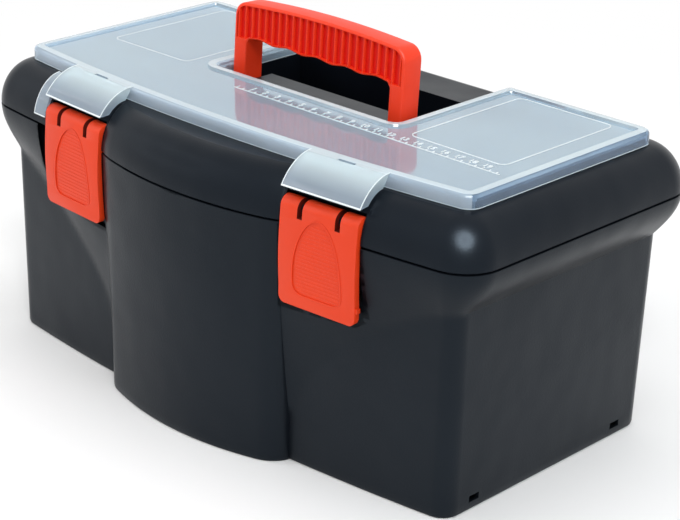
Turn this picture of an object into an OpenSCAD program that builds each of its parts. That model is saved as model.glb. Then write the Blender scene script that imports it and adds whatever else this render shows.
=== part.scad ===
// Hard tool case with a clear organiser cover, two latches and a folding handle.
// Millimetres, +Z up, X along the case, front at -Y, origin under the middle of the box.

/* [Tub] */
// Length of the case over its rims
case_l = 400; // [380:5:440]
// Width of the tub at its foot, from the back wall to the middle of the front wall
tub_w = 191.5; // [185:0.5:215]
// Height of the tub, up to the parting line
tub_h = 150.6; // [140:0.2:175]
// How far the rims stand out past the foot of the end walls
rim_end = 16; // [12:0.5:20]
// How far the rims stand out past the foot of the back wall
rim_back = 14; // [11:0.5:18]
// How far the rims stand out past the foot of the front wall
rim_front = 11.4; // [10:0.2:13]
// How far each wall leans out between its foot and the flare
draft = 1.8; // [0:0.1:3]
// Height of the flare under the rim
flare_h = 27; // [22:1:34]
// Wall thickness of tub and lid
wall = 2.5; // [2:0.1:3]
// Radius in plan of the slightly bowed front
bow_r = 1300; // [900:50:3000]
// Corner radius in plan at the foot
foot_r = 12; // [8:1:20]
// Corner radius in plan at the rims
rim_r = 24; // [18:1:32]
// Width of the small drain slots low in the end walls
drain_w = 8.3; // [6:0.1:12]
// Height of the drain slots
drain_h = 4; // [3:0.5:8]

/* [Front bulge] */
// How far the middle of the front bulges out past the front wall
bulge_out = 22; // [18:0.5:26]
// Width of the bulge
bulge_w = 148; // [140:1:152]
// Radius in plan of the bulge at the foot
bulge_foot_r = 190; // [170:5:260]
// Radius in plan of the bulge at the rim
bulge_rim_r = 245; // [210:5:300]
// Rounding at each end of the bulge
bulge_end = 12; // [8:0.5:16]
// Height where the crease under the rim reaches the bulge
crease_low = 28; // [20:1:50]

/* [Lid] */
// Gap between tub and lid at the parting line
parting = 0.8; // [0.5:0.1:1.5]
// Height of the lid above the parting line
lid_h = 27.3; // [25:0.1:34]
// How far the lid's edge rolls in towards its flat top
lid_roll = 19; // [16:0.5:22]
// Width of the well that the handle folds into
well_w = 149.5; // [147:0.5:156]
// Front edge of the well between the handle's legs
well_front = 17.2; // [16:0.2:18]
// Back edge of the well
well_back = 61.4; // [61:0.1:66]
// Depth of the well under the lid's top
well_deep = 23; // [21:0.5:24]
// Depth of the organiser compartments
bin_deep = 21; // [14:0.5:24]
// Thickness of the organiser's partitions
partition = 1.8; // [1.4:0.1:3]

/* [Cover] */
// Length of the clear cover
cover_l = 364; // [350:1:372]
// How far the cover's back edge lies in front of the back wall's foot
back_margin = 7.55; // [6:0.05:10]
// How far the middle of the cover's front edge lies behind the front wall's foot
front_margin = 10.25; // [8:0.25:14]
// Front edge of the notch round the handle
notch_front = 13.1; // [12:0.1:14]
// Height of the cover's skirt and top together
cover_h = 8.2; // [7:0.1:10]
// Thickness of the cover's walls
cover_t = 1.8; // [1.4:0.1:2.4]
// Width of the raised border
border_w = 6.5; // [4:0.5:9]
// Depth of the panel below the border
border_h = 1.3; // [0.8:0.1:1.8]
// Corner radius of the cover
cover_r = 9; // [6:0.5:14]

/* [Latches] */
// Width of a latch
latch_w = 54; // [46:1:56]
// Distance of each latch from the middle of the case
latch_x = 102.7; // [101:0.2:106]
// Turn of each latch in plan, to follow the bowed front
latch_yaw = 4; // [2:0.5:5]
// Height of the latch's lower edge
latch_foot = 105; // [98:1:112]
// Height of the latch pin above the parting line
pin_up = 9.5; // [8:0.5:11]
// Diameter of the latch pins
latch_pin_d = 3; // [2.4:0.2:4]
// Running clearance round pins, on the diameter
pin_play = 0.12; // [0.08:0.02:0.2]
// Side clearance of moving parts
side_play = 0.5; // [0.4:0.1:0.8]

/* [Handle] */
// Width of the handle over its legs
handle_w = 139; // [130:1:140]
// Width of each leg
leg_w = 10.4; // [9:0.2:12]
// Thickness of legs and grip from front to back
handle_t = 15.2; // [13:0.2:16]
// Height of the grip's top above the handle pivot
handle_h = 56.6; // [50:0.1:57]
// Height of the grip's top above the lid
handle_up = 49.9; // [44:0.1:51]
// Height of the grip itself
grip_h = 23.5; // [16:0.1:24]
// How far the grip's top is arched
grip_arch = 2.5; // [0:0.5:6]
// Rounding of the grip's upper corners
grip_round = 9; // [6:0.5:12]
// Lean of the standing handle towards the back, in degrees
handle_lean = 2.5; // [0:0.5:5]
// Diameter of the handle pins
handle_pin_d = 5; // [4:0.5:6]

/* [Hinges] */
// Radius of the lid hinge knuckles
hinge_r = 3.85; // [3.4:0.05:4.5]
// Length of the lid's knuckle in each hinge
knuckle_l = 16; // [12:1:24]
// Length of the tub's knuckle at each side of it
side_knuckle_l = 10; // [8:1:16]
// Distance of each lid hinge from the middle
hinge_x = 120; // [80:5:130]
// Diameter of the lid hinge pins
hinge_pin_d = 3; // [2.4:0.2:3.6]
// Radius of the cover hinge knuckles
cover_knuckle_r = 2.6; // [2.2:0.1:2.8]
// Diameter of the cover hinge pins
cover_pin_d = 2; // [1.6:0.2:2.2]

/* [Tray] */
// Space at each end of the lift-out tray
tray_end_gap = 14; // [12:1:30]
// Space in front of and behind the tray
tray_side_gap = 20.75; // [20:0.25:30]
// Room between the tray's grip and the well
tray_room = 4.2; // [3.4:0.2:10]
// Height of the lift-out tray
tray_h = 45; // [35:1:60]
// Thickness of the tray's walls
tray_t = 2; // [1.6:0.2:3]
// Space between the two rows of tray bays
tray_spine = 16; // [12:1:24]
// Length of the tray's grip
tray_grip_l = 120; // [90:5:160]
// Height of the tray's grip
tray_grip_h = 12; // [10:1:14]
// Thickness of the tray's grip
tray_grip_t = 6; // [4:0.5:8]
// Thickness of the grip's posts
tray_grip_leg = 8; // [6:1:12]

/* [Hidden] */
$fn = 48;
eps = 0.01;
cut = 1;
seat = 0.3;

foot_l = case_l - 2*rim_end;
cover_back = tub_w/2 - back_margin;
cover_front = tub_w/2 - front_margin;
flare_z = tub_h - flare_h;
lid_z = tub_h + parting;
lid_top = lid_z + lid_h;
well_floor = lid_top - well_deep;
cover_z = lid_top + seat;
cover_top = cover_z + cover_h;
panel_top = cover_top - border_h;
panel_under = panel_top - cover_t;

black = [0.16, 0.17, 0.18];
orange = [0.93, 0.28, 0.14];
clear_blue = [0.80, 0.86, 0.90, 0.6];
steel = [0.7, 0.7, 0.72];
grey = [0.45, 0.46, 0.48];

// ---------- plan outlines ----------

corner_steps = 6;
// X stations of the front edge: across the bulge, round its end, then along the side panel
bulge_half = bulge_w/2;
function front_stations(tangent_x) = concat(
    [for (i = [0:4]) i*(bulge_half - bulge_end)/5],
    [for (a = [0:18:90]) bulge_half - bulge_end*(1 - sin(a))],
    [for (i = [1:5]) bulge_half + i*(tangent_x - bulge_half)/5]);

// A corner arc of radius r centred at c, from angle a0 to a1
function corner(c, r, a0, a1) = [for (i = [0:corner_steps])
    let (a = a0 + (a1 - a0)*i/corner_steps) [c[0] + r*cos(a), c[1] + r*sin(a)]];

function mirrored(points) =
    [for (i = [len(points) - 1:-1:0]) if (points[i][0] > eps) [-points[i][0], points[i][1]]];

// Height on the front panels where the flare starts: level at the ends, down to crease_low at the bulge
function crease(x, end) = let (d = min(1, max(0, (end - abs(x))/(end - bulge_half))))
    crease_low + (flare_z - crease_low)*pow(1 - pow(d, 1.3), 0.65);

// Share of the flare reached at height z, when it starts at height low
function flare(z, low) = sin(90*min(1, max(0, (z - low)/(tub_h - low))));

function end_out(z) = draft*min(1, z/flare_z) + (rim_end - draft)*flare(z, flare_z);
function back_out(z) = draft*min(1, z/flare_z) + (rim_back - draft)*flare(z, flare_z);
function corner_out(z) = foot_r + (rim_r - foot_r)*flare(z, flare_z);
function bulge_r(z) = bulge_foot_r + (bulge_rim_r - bulge_foot_r)*min(1, z/tub_h);

// Front edge at station x: the bowed side panel, and the bulge faired into it
function panel_y(x, z, end) = -tub_w/2 + x*x/(2*bow_r)
    - draft*min(1, z/flare_z) - (rim_front - draft)*flare(z, crease(x, end));
function bulge_y(x, z) = -tub_w/2 - bulge_out + x*x/(2*bulge_r(z));
function end_share(x) = let (s = min(1, max(0, (bulge_half - abs(x))/bulge_end))) sqrt(1 - (1 - s)*(1 - s));
function front_y(x, z, end) = let (p = panel_y(x, z, end), b = bulge_y(x, z)) p + min(0, b - p)*end_share(x);

// Outline of the box at height z, drawn in by inset all round
function ring(z, inset) = let (
        zz = min(z, tub_h),
        half = foot_l/2 + end_out(zz) - inset,
        back = tub_w/2 + back_out(zz) - inset,
        r = max(3, corner_out(zz) - 0.8*inset),
        end = half - r,
        tangent = end*bow_r/(bow_r - r),
        slope = asin(end/bow_r),
        front_end = front_y(tangent, zz, foot_l/2) + inset,
        front = [for (x = front_stations(tangent)) [x, front_y(x, zz, foot_l/2) + inset]],
        right = concat(front,
            [for (i = [1:corner_steps]) let (a = -90 + slope + (90 - slope)*i/corner_steps)
                [end + r*cos(a), front_end + r*cos(slope) + r*sin(a)]],
            corner([end, back - r], r, 0, 90)))
    concat(right, mirrored(right));

// Closed skin through level rings that are symmetric about X = 0: each item is [z, ring]
module loft(levels) {
    n = len(levels[0][1]);
    m = len(levels);
    points = [for (l = levels) for (p = l[1]) [p[0], p[1], l[0]]];
    sides = [for (k = [0:m - 2]) for (i = [0:n - 1])
        [k*n + i, (k + 1)*n + i, (k + 1)*n + (i + 1)%n, k*n + (i + 1)%n]];
    h = (n - 1)/2;
    bottom = concat([[0, 1, n - 1]], [for (i = [1:h - 1]) [i, i + 1, n - i - 1, n - i]]);
    top = [for (f = bottom) [for (i = [len(f) - 1:-1:0]) (m - 1)*n + f[i]]];
    polyhedron(points = points, faces = concat(sides, bottom, top), convexity = 8);
}

// ---------- tub ----------

foot_edge = 2;
wall_levels = [for (i = [1:6]) crease_low + (flare_z - crease_low)*i/7];
flare_levels = [for (i = [0:5]) flare_z + flare_h*sin(i*18)];
tub_levels = concat([foot_edge, crease_low], wall_levels, flare_levels);

module tub_outside() {
    loft(concat([[0, ring(0, foot_edge*0.6)]], [for (z = tub_levels) [z, ring(z, 0)]]));
}

module tub_inside() {
    inner = concat([wall], [for (z = tub_levels) if (z > wall) z]);
    loft(concat([for (z = inner) [z, ring(z, wall)]], [[tub_h + cut, ring(tub_h, wall)]]));
}

// Latch stations: local frame with X along the latch and -Y outwards, turned to follow the front
latch_y = -tub_w/2 - 2.8;
pin_z = lid_z + pin_up;
barrel_r = 6;
module at_latch(side) {
    translate([side*latch_x, latch_y, 0]) rotate([0, 0, side*latch_yaw]) children();
}

// Far enough out to clear the front of the case
front_reach = bulge_out + rim_front + lid_roll + cover_h;
pocket_floor = 1.2;
pocket_side = side_play;
pocket_low = latch_foot - 3;
lock_w = 13;
lock_deep = 11;
lock_low = latch_foot + 4;
lock_high = tub_h + cut;

// Recess behind a latch, in the latch's frame
module latch_pocket(low, high, floor_y, grow) {
    w = latch_w + 2*pocket_side + 2*grow;
    translate([-w/2, -front_reach, low]) cube([w, front_reach + floor_y, high - low]);
}

// Dark recess outboard of the left latch
module lock_recess(grow) {
    x0 = -latch_w/2 - lock_w - grow;
    translate([x0, -front_reach, lock_low - grow])
        cube([lock_w + 2*grow + eps, front_reach + lock_deep + grow, lock_high - lock_low + 2*grow]);
}

catch_z = latch_foot + 16;
catch_r = 1.6;
catch_gap = 0.3;

hinge_y = tub_w/2 + rim_back + hinge_r + seat;
hinge_web = hinge_r + seat + wall/2;
module hinge_barrel(len) {
    translate([-len/2, hinge_y, lid_z - parting/2]) rotate([0, 90, 0]) cylinder(r = hinge_r, h = len);
}
module hinge_bore(len) {
    translate([-len/2, hinge_y, lid_z - parting/2]) rotate([0, 90, 0])
        cylinder(d = hinge_pin_d + pin_play, h = len);
}
hinge_len = knuckle_l + 2*side_knuckle_l + 2*side_play;
tub_knuckle_at = knuckle_l/2 + side_play + side_knuckle_l/2;

tray_l = foot_l - 2*tray_end_gap;
tray_w = tub_w - 2*tray_side_gap;
tray_z = well_floor - wall - tray_room - tray_grip_h - tray_h;
ledge_w = 8;
ledge_drop = 6;

module tub() color(black) {
    difference() {
        union() {
            difference() {
                tub_outside();
                difference() {
                    tub_inside();
                    for (side = [-1, 1]) at_latch(side)
                        latch_pocket(pocket_low - wall, tub_h + 2*cut, pocket_floor + wall, wall);
                    at_latch(-1) lock_recess(wall);
                }
            }
            for (side = [-1, 1], k = [-1, 1]) translate([side*hinge_x + k*tub_knuckle_at, 0, 0]) {
                hinge_barrel(side_knuckle_l);
                translate([-side_knuckle_l/2, hinge_y - hinge_web, tub_h - 2*hinge_r])
                    cube([side_knuckle_l, hinge_web, 2*hinge_r - eps]);
            }
            for (side = [-1, 1]) tray_ledge(side);
        }
        for (side = [-1, 1]) at_latch(side) latch_pocket(pocket_low, tub_h + cut, pocket_floor, 0);
        at_latch(-1) lock_recess(0);
        for (side = [-1, 1]) translate([side*hinge_x, 0, 0]) hinge_bore(hinge_len + cut);
        for (y = [-tub_w/2 + 36.5, tub_w/2 - 26.5]) translate([-case_l/2, y - drain_w/2, 7 - drain_h/2])
            cube([case_l, drain_w, drain_h]);
    }
    for (side = [-1, 1]) at_latch(side) latch_catch();
}

// Half-round bead that the latch's nub snaps over
module latch_catch() {
    w = latch_w*0.5;
    intersection() {
        translate([-w/2, pocket_floor, catch_z]) rotate([0, 90, 0]) cylinder(r = catch_r, h = w);
        translate([-w, pocket_floor - 2*catch_r, catch_z - 2*catch_r])
            cube([2*w, 2*catch_r + eps, 4*catch_r]);
    }
}

// Ledge inside each end wall that the tray rests on
module tray_ledge(side) {
    x0 = tray_l/2 - ledge_w;
    x1 = foot_l/2 - wall/2;
    for (y = [-tray_w/2 + 12, 0, tray_w/2 - 12])
        translate([side > 0 ? x0 : -x1, y - wall/2, tray_z - ledge_drop - 8])
        cube([x1 - x0, wall, ledge_drop + 8]);
}

// ---------- lid ----------

// Angles of the levels up the lid's quarter-round edge
roll_angles = [0, 15, 30, 45, 58, 70, 80, 86, 90];
module lid_outside() {
    loft([for (a = roll_angles) [lid_z + lid_h*sin(a), ring(tub_h, lid_roll*(1 - cos(a)))]]);
}
module lid_inside() {
    loft(concat([[lid_z - cut, ring(tub_h, wall)]],
        [for (a = roll_angles) if (a <= 80)
            [lid_z + (lid_h - wall)*sin(a), ring(tub_h, wall + (lid_roll - wall)*(1 - cos(a)))]]));
}

pivot_y = 3.8;
pivot_z = lid_top + handle_up - handle_h;
leg_front = pivot_y - handle_t/2 - 2;
pocket_in = handle_w/2 - leg_w - 3;

// Well for the folded handle, with a bay at each end for a leg
module well(grow, top) {
    half = well_w/2 + grow;
    translate([-half, well_front - grow, well_floor - grow])
        cube([2*half, well_back - well_front + 2*grow, top - well_floor + grow]);
    for (side = [-1, 1]) translate([side > 0 ? pocket_in - grow : -half, leg_front - grow, well_floor - grow])
        cube([half - pocket_in + grow, well_back - leg_front + 2*grow, top - well_floor + grow]);
}

bin_half = cover_l/2 - 9;
bin_front = -cover_front + 17;
bin_back = cover_back - 9;
bin_mid = -notch_front - 4;
wing_in = well_w/2 + 2*wall;
bin_z = lid_top - bin_deep;
// Space of the organiser: a strip along the front and a wing at each end
module bins(grow, top) {
    translate([-bin_half - grow, bin_front - grow, bin_z - grow])
        cube([2*bin_half + 2*grow, bin_mid - bin_front + 2*grow, top - bin_z + grow]);
    for (side = [-1, 1])
        translate([side > 0 ? wing_in - grow : -bin_half - grow, bin_front - grow, bin_z - grow])
        cube([bin_half - wing_in + 2*grow, bin_back - bin_front + 2*grow, top - bin_z + grow]);
}

module organiser() color(black) {
    difference() {
        bins(wall, lid_top);
        bins(0, lid_top + cut);
    }
}

// Lining of the well, with the strip of the lid's top in front of it
strip_front = bin_mid + wall;
module well_liner() color(black) {
    half = well_w/2 + wall;
    difference() {
        union() {
            well(wall, lid_top);
            translate([-half, strip_front, lid_top - wall]) cube([2*half, well_front - strip_front, wall]);
        }
        well(0, lid_top + cut);
        for (side = [-1, 1], x = [well_w/2 + wall/2, pocket_in - wall/2])
            translate([side*x, pivot_y, pivot_z]) rotate([0, 90, 0])
                cylinder(d = handle_pin_d + pin_play, h = wall + cut, center = true);
    }
}

partition_h = bin_deep - 1;
row_y = -40;
mid_x = 32;
deep_x = 100;
wing_y = 30;
// Upright partition plate from corner a to corner b, on the organiser's floor, on the given side
module divider(side, a, b) color(black) {
    x0 = side > 0 ? a[0] : -b[0];
    translate([x0, a[1], bin_z]) cube([b[0] - a[0], b[1] - a[1], partition_h]);
}
module divider_mid(side) divider(side, [mid_x - partition/2, bin_front], [mid_x + partition/2, bin_mid]);
module divider_row(side)
    divider(side, [mid_x + partition/2, row_y - partition/2], [bin_half, row_y + partition/2]);
module divider_deep(side)
    divider(side, [deep_x - partition/2, row_y + partition/2], [deep_x + partition/2, bin_back]);
module divider_wing(side) divider(side, [deep_x + partition/2, wing_y], [bin_half, wing_y + partition]);

lug_w = 2.6;
lug_r = barrel_r - 2.6;
lug_at = latch_w*0.245;
module lid_knuckle_web() {
    translate([-knuckle_l/2, hinge_y - hinge_web, lid_z])
        cube([knuckle_l, hinge_web, hinge_r - parting/2 - eps]);
}

cover_hinge_y = cover_back + 3.2;
cover_hinge_z = cover_z + cover_knuckle_r;
cover_ear_l = 5;
cover_lug_l = 12;
cover_hinge_len = cover_lug_l + 2*cover_ear_l + 2*side_play;
cover_hinge_mid = (wing_in + bin_half)/2;
module cover_barrel(len) {
    translate([-len/2, cover_hinge_y, cover_hinge_z])
        rotate([0, 90, 0]) cylinder(r = cover_knuckle_r, h = len);
}
module cover_bore(len) {
    translate([-len/2, cover_hinge_y, cover_hinge_z]) rotate([0, 90, 0])
        cylinder(d = cover_pin_d + pin_play, h = len);
}

module lid() color(black) {
    difference() {
        union() {
            difference() {
                lid_outside();
                difference() {
                    lid_inside();
                    for (side = [-1, 1]) at_latch(side)
                        latch_pocket(lid_z - 2*cut, pin_z + barrel_r + 2 + wall, barrel_r + 1.2 + wall, wall);
                }
                bins(wall, lid_top + cut);
                translate([-wing_in, strip_front, lid_z - cut])
                    cube([2*wing_in, well_back + wall - strip_front, lid_h + 2*cut]);
                for (side = [-1, 1]) at_latch(side)
                    latch_pocket(lid_z - 2*cut, pin_z + barrel_r + 2, barrel_r + 1.2, 0);
            }
            for (side = [-1, 1]) at_latch(side) for (k = [-1, 1]) translate([k*lug_at, 0, 0]) latch_lug();
            for (side = [-1, 1]) translate([side*hinge_x, 0, 0]) {
                hinge_barrel(knuckle_l);
                lid_knuckle_web();
            }
            for (side = [-1, 1], k = [-1, 1])
                translate([side*cover_hinge_mid + k*(cover_lug_l/2 + side_play + cover_ear_l/2), 0, 0])
                    cover_ear();
        }
        for (side = [-1, 1]) at_latch(side) latch_bore(latch_w + 2*wall + 2*pocket_side + cut);
        for (side = [-1, 1]) translate([side*hinge_x, 0, 0]) hinge_bore(hinge_len);
        for (side = [-1, 1]) translate([side*cover_hinge_mid, 0, 0]) cover_bore(cover_hinge_len + cut);
    }
}

// Lug of the lid between the latch's knuckles
module latch_lug() {
    translate([-lug_w/2, 0, pin_z]) rotate([0, 90, 0]) cylinder(r = lug_r, h = lug_w);
    translate([-lug_w/2, 0, pin_z - lug_r]) cube([lug_w, barrel_r + 1.2 + wall/2, 2*lug_r]);
}
module latch_bore(len) {
    translate([-len/2, 0, pin_z]) rotate([0, 90, 0]) cylinder(d = latch_pin_d + pin_play, h = len);
}

// Ear that stands up behind the cover and holds its hinge pin
module cover_ear() {
    cover_barrel(cover_ear_l);
    translate([-cover_ear_l/2, cover_hinge_y - cover_knuckle_r, lid_top - 6])
        cube([cover_ear_l, 2*cover_knuckle_r, cover_hinge_z - lid_top + 6]);
}

// ---------- cover ----------

cover_half = cover_l/2;
notch_half = well_w/2;
// U-shaped outline of the cover, drawn in by inset
function cover_ring(inset) = let (
        half = cover_half - inset,
        back = cover_back - inset,
        r = max(1, cover_r - inset),
        end = half - r,
        apex = -cover_front + inset,
        end_y = apex + end*end/(2*bow_r) + r,
        nx = notch_half + inset,
        ny = -notch_front - inset,
        nr = 4 + inset,
        right = concat(
            [for (i = [0:6]) [end*i/6, apex + pow(end*i/6, 2)/(2*bow_r)]],
            [for (i = [1:corner_steps]) let (a = -90 + 90*i/corner_steps) [end + r*cos(a), end_y + r*sin(a)]],
            corner([end, back - r], r, 0, 90),
            corner([nx + 2, back - 2], 2, 90, 180),
            [for (i = [0:corner_steps]) let (a = -90*i/corner_steps)
                [nx - nr + nr*cos(a), ny + nr + nr*sin(a)]],
            [[0, ny]]))
    concat(right, mirrored(right));

// The same outline without the notch
function cover_box_ring(inset) = let (
        half = cover_half - inset,
        r = max(1, cover_r - inset),
        end = half - r,
        apex = -cover_front + inset,
        end_y = apex + end*end/(2*bow_r) + r,
        right = concat(
            [for (i = [0:6]) [end*i/6, apex + pow(end*i/6, 2)/(2*bow_r)]],
            [for (i = [1:corner_steps]) let (a = -90 + 90*i/corner_steps) [end + r*cos(a), end_y + r*sin(a)]],
            corner([end, cover_back - inset - r], r, 0, 90)))
    concat(right, mirrored(right));

module cover_outside() {
    difference() {
        loft([[cover_z, cover_box_ring(0)], [cover_top - 2.4, cover_box_ring(0.3)],
            [cover_top - 0.8, cover_box_ring(0.9)], [cover_top - 0.2, cover_box_ring(1.7)],
            [cover_top, cover_box_ring(2.8)]]);
        translate([-notch_half, -notch_front, cover_z - cut])
            cube([2*notch_half, notch_front + cover_back + cut, cover_h + 2*cut]);
    }
}

// Hood over the latch, in the latch's frame: an arc from the cover's top down in front of the lid
hood_w = latch_w + 1;
hood_a = 30.5;
hood_b = cover_top - tub_h;
hood_back = latch_x*latch_x/(2*bow_r) - cover_front - latch_y + 2;
hood_low = 22;
function hood_arc(a, b, low) = let (end = asin(low/b)) [for (i = [0:8]) let (t = 90 - (90 - end)*i/8)
    [hood_back - a*cos(t), tub_h + b*sin(t)]];
module hood_profile(t) {
    outer = hood_arc(hood_a, hood_b, hood_low);
    inner = hood_arc(hood_a - t, hood_b - t, hood_low);
    polygon(concat(outer, [for (i = [8:-1:0]) inner[i]]));
}
// The lid's rolled edge at the latch, grown by gap, from angle t0 up to t1
lid_gap = 0.9;
lid_face = latch_x*latch_x/(2*bow_r) - tub_w/2 - rim_front - latch_y;
function roll_arc(gap, t0, t1) = [for (i = [0:8]) let (t = t0 + (t1 - t0)*i/8)
    [lid_face + lid_roll - (lid_roll + gap)*cos(t), lid_z + (lid_h + gap)*sin(t)]];
// Side wall of the hood: the space between its arc and the lid's rolled edge
module hood_side_profile() {
    polygon(concat(hood_arc(hood_a, hood_b, hood_low), roll_arc(lid_gap, 50, 88)));
}
module extrude_x(w) {
    rotate([90, 0, 90]) translate([0, 0, -w/2]) linear_extrude(w) children();
}
window_w = 12;
module hood() {
    extrude_x(hood_w) hood_profile(cover_t);
    for (k = [-1, 1]) translate([k*(hood_w - cover_t)/2, 0, 0]) extrude_x(cover_t) hood_side_profile();
}
// Ear beside the left hood, lying over the lid's rolled edge
lock_ear_w = 11;
module lock_ear() {
    outer = roll_arc(lid_gap + cover_t, 14, 86);
    inner = roll_arc(lid_gap, 86, 14);
    translate([eps - (hood_w + lock_ear_w)/2, 0, 0]) extrude_x(lock_ear_w) polygon(concat(outer, inner));
}

module cover() color(clear_blue) {
    difference() {
        union() {
            difference() {
                cover_outside();
                translate([0, 0, cover_z - cut])
                    linear_extrude(panel_under - cover_z + cut) polygon(cover_ring(cover_t));
                translate([0, 0, panel_top]) linear_extrude(border_h + cut) polygon(cover_ring(border_w));
            }
            for (side = [-1, 1]) at_latch(side) hood();
            at_latch(-1) lock_ear();
            for (side = [-1, 1]) translate([side*cover_hinge_mid, 0, 0]) {
                cover_barrel(cover_lug_l);
                translate([-cover_lug_l/2, cover_back - 1, cover_z])
                    cube([cover_lug_l, cover_hinge_y - cover_back + 1,
                        cover_hinge_z + cover_knuckle_r - cover_z]);
            }
        }
        for (side = [-1, 1]) translate([side*cover_hinge_mid, 0, 0]) cover_bore(cover_hinge_len);
        for (side = [-1, 1]) at_latch(side)
            translate([-window_w/2, hood_back - 3.5, cover_top - 6]) cube([window_w, 2, 10]);
    }
}

// ---------- handle ----------

function rounded_top(half, low, high, arch, r) = concat(
    [[half, low]],
    [for (i = [0:corner_steps]) let (a = 90*i/corner_steps)
        [half - r + r*cos(a), high - arch - r + r*sin(a)]],
    [for (i = [1:6]) let (x = (half - r)*(1 - i/6)) [x, high - arch*pow(x/(half - r), 2)]]);
leg_round = handle_t/2;
module handle() color(orange) {
    outer = rounded_top(handle_w/2, 0, handle_h, grip_arch, grip_round);
    inner = rounded_top(handle_w/2 - leg_w, 0, handle_h - grip_h, 0.6, 3);
    translate([0, pivot_y, pivot_z]) rotate([-handle_lean, 0, 0]) difference() {
        union() {
            rotate([90, 0, 0]) translate([0, 0, -handle_t/2]) linear_extrude(handle_t) difference() {
                polygon(concat(outer, mirrored(outer)));
                translate([0, -eps]) polygon(concat(inner, mirrored(inner)));
            }
            for (side = [-1, 1]) translate([side*(handle_w - leg_w)/2, 0, 0]) rotate([0, 90, 0])
                cylinder(r = leg_round, h = leg_w, center = true);
        }
        for (side = [-1, 1]) translate([side*(handle_w - leg_w)/2, 0, 0]) rotate([0, 90, 0])
            cylinder(d = handle_pin_d + pin_play, h = leg_w + cut, center = true);
    }
}
pin_short = 0.2;
module handle_pin(side) color(steel) {
    x0 = pocket_in - wall;
    x1 = well_w/2 + wall - pin_short;
    translate([side*(x0 + x1)/2, pivot_y, pivot_z]) rotate([0, 90, 0])
        cylinder(d = handle_pin_d, h = x1 - x0, center = true);
}

// ---------- latches ----------

plate_t = 4;
latch_depth = pin_z - latch_foot;
// Outward bulge of the plate's front face, from the pin down to the foot
function plate_y(s) = -barrel_r - 1.6*sin(180*min(1, s*1.25)*0.8) + 0.6*s;
module latch_profile() {
    n = 8;
    front = [for (i = [0:n]) [plate_y(i/n), pin_z - latch_depth*i/n]];
    back = [for (i = [n:-1:0]) [plate_y(i/n) + plate_t, pin_z - latch_depth*i/n]];
    polygon(concat(front, back));
}
nub_y = pocket_floor - catch_r - catch_gap;
module latch() {
    difference() {
        union() {
            extrude_x(latch_w) latch_profile();
            translate([-latch_w/2, 0, pin_z]) rotate([0, 90, 0]) cylinder(r = barrel_r, h = latch_w);
        }
        latch_bore(latch_w + cut);
        for (k = [-1, 1]) translate([k*lug_at - lug_w/2 - side_play, -2*barrel_r, pin_z - lug_r - 0.8])
            cube([lug_w + 2*side_play, 4*barrel_r, 2*barrel_r]);
    }
}
module latch_nub() {
    w = latch_w*0.5;
    translate([-w/2, plate_y(0.75) + plate_t - 1, catch_z - 4.4])
        cube([w, max(1.1, nub_y - plate_y(0.75) - plate_t + 1), 2]);
}
module latch_at(side) color(orange) at_latch(side) {
    latch();
    latch_nub();
}
module latch_pin(side) color(steel) at_latch(side) {
    len = latch_w + 2*pocket_side + 2*wall - cut;
    translate([-len/2, 0, pin_z]) rotate([0, 90, 0]) cylinder(d = latch_pin_d, h = len);
}

// ---------- hinge pins ----------

module lid_hinge_pin(side) color(steel) {
    translate([side*hinge_x - hinge_len/2, hinge_y, lid_z - parting/2]) rotate([0, 90, 0])
        cylinder(d = hinge_pin_d, h = hinge_len);
}
module cover_hinge_pin(side) color(steel) {
    translate([side*cover_hinge_mid - cover_hinge_len/2, cover_hinge_y, cover_hinge_z]) rotate([0, 90, 0])
        cylinder(d = cover_pin_d, h = cover_hinge_len);
}

// ---------- lift-out tray ----------

spine_end = 40;
bay_w = (tray_w - tray_spine)/2 - tray_t;
module tray() color(grey) {
    bay_l = tray_l - 2*tray_t;
    hollow_l = bay_l - 2*spine_end;
    difference() {
        translate([-tray_l/2, -tray_w/2, tray_z]) cube([tray_l, tray_w, tray_h]);
        for (y = [tray_spine/2, -tray_spine/2 - bay_w])
            translate([-bay_l/2, y, tray_z + tray_t]) cube([bay_l, bay_w, tray_h]);
        translate([-hollow_l/2, tray_t - tray_spine/2, tray_z - cut])
            cube([hollow_l, tray_spine - 2*tray_t, tray_h - tray_t + cut]);
    }
}
// Divider that halves the front (-1) or the back (1) bay of the tray
module tray_divider(row) color(grey) {
    translate([-tray_t/2, row > 0 ? tray_spine/2 : -tray_spine/2 - bay_w, tray_z + tray_t])
        cube([tray_t, bay_w, tray_h - 2*tray_t]);
}
module tray_grip() color(black) {
    opening = tray_grip_l - 2*tray_grip_leg;
    difference() {
        translate([-tray_grip_l/2, -tray_grip_t/2, tray_z + tray_h])
            cube([tray_grip_l, tray_grip_t, tray_grip_h]);
        translate([-opening/2, -tray_grip_t/2 - cut, tray_z + tray_h - eps])
            cube([opening, tray_grip_t + 2*cut, tray_grip_h*2/3]);
    }
}

tub();
lid();
cover();
handle();
latch_at(-1);  // latch_left
latch_at(1);  // latch_right
organiser();
well_liner();
divider_mid(-1);  // divider_mid_left
divider_mid(1);  // divider_mid_right
divider_row(-1);  // divider_row_left
divider_row(1);  // divider_row_right
divider_deep(-1);  // divider_deep_left
divider_deep(1);  // divider_deep_right
divider_wing(-1);  // divider_wing_left
divider_wing(1);  // divider_wing_right
latch_pin(-1);  // latch_pin_left
latch_pin(1);  // latch_pin_right
handle_pin(-1);  // handle_pin_left
handle_pin(1);  // handle_pin_right
lid_hinge_pin(-1);  // lid_hinge_pin_left
lid_hinge_pin(1);  // lid_hinge_pin_right
cover_hinge_pin(-1);  // cover_hinge_pin_left
cover_hinge_pin(1);  // cover_hinge_pin_right
tray();
tray_grip();
tray_divider(-1);  // tray_divider_front
tray_divider(1);  // tray_divider_back
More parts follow.
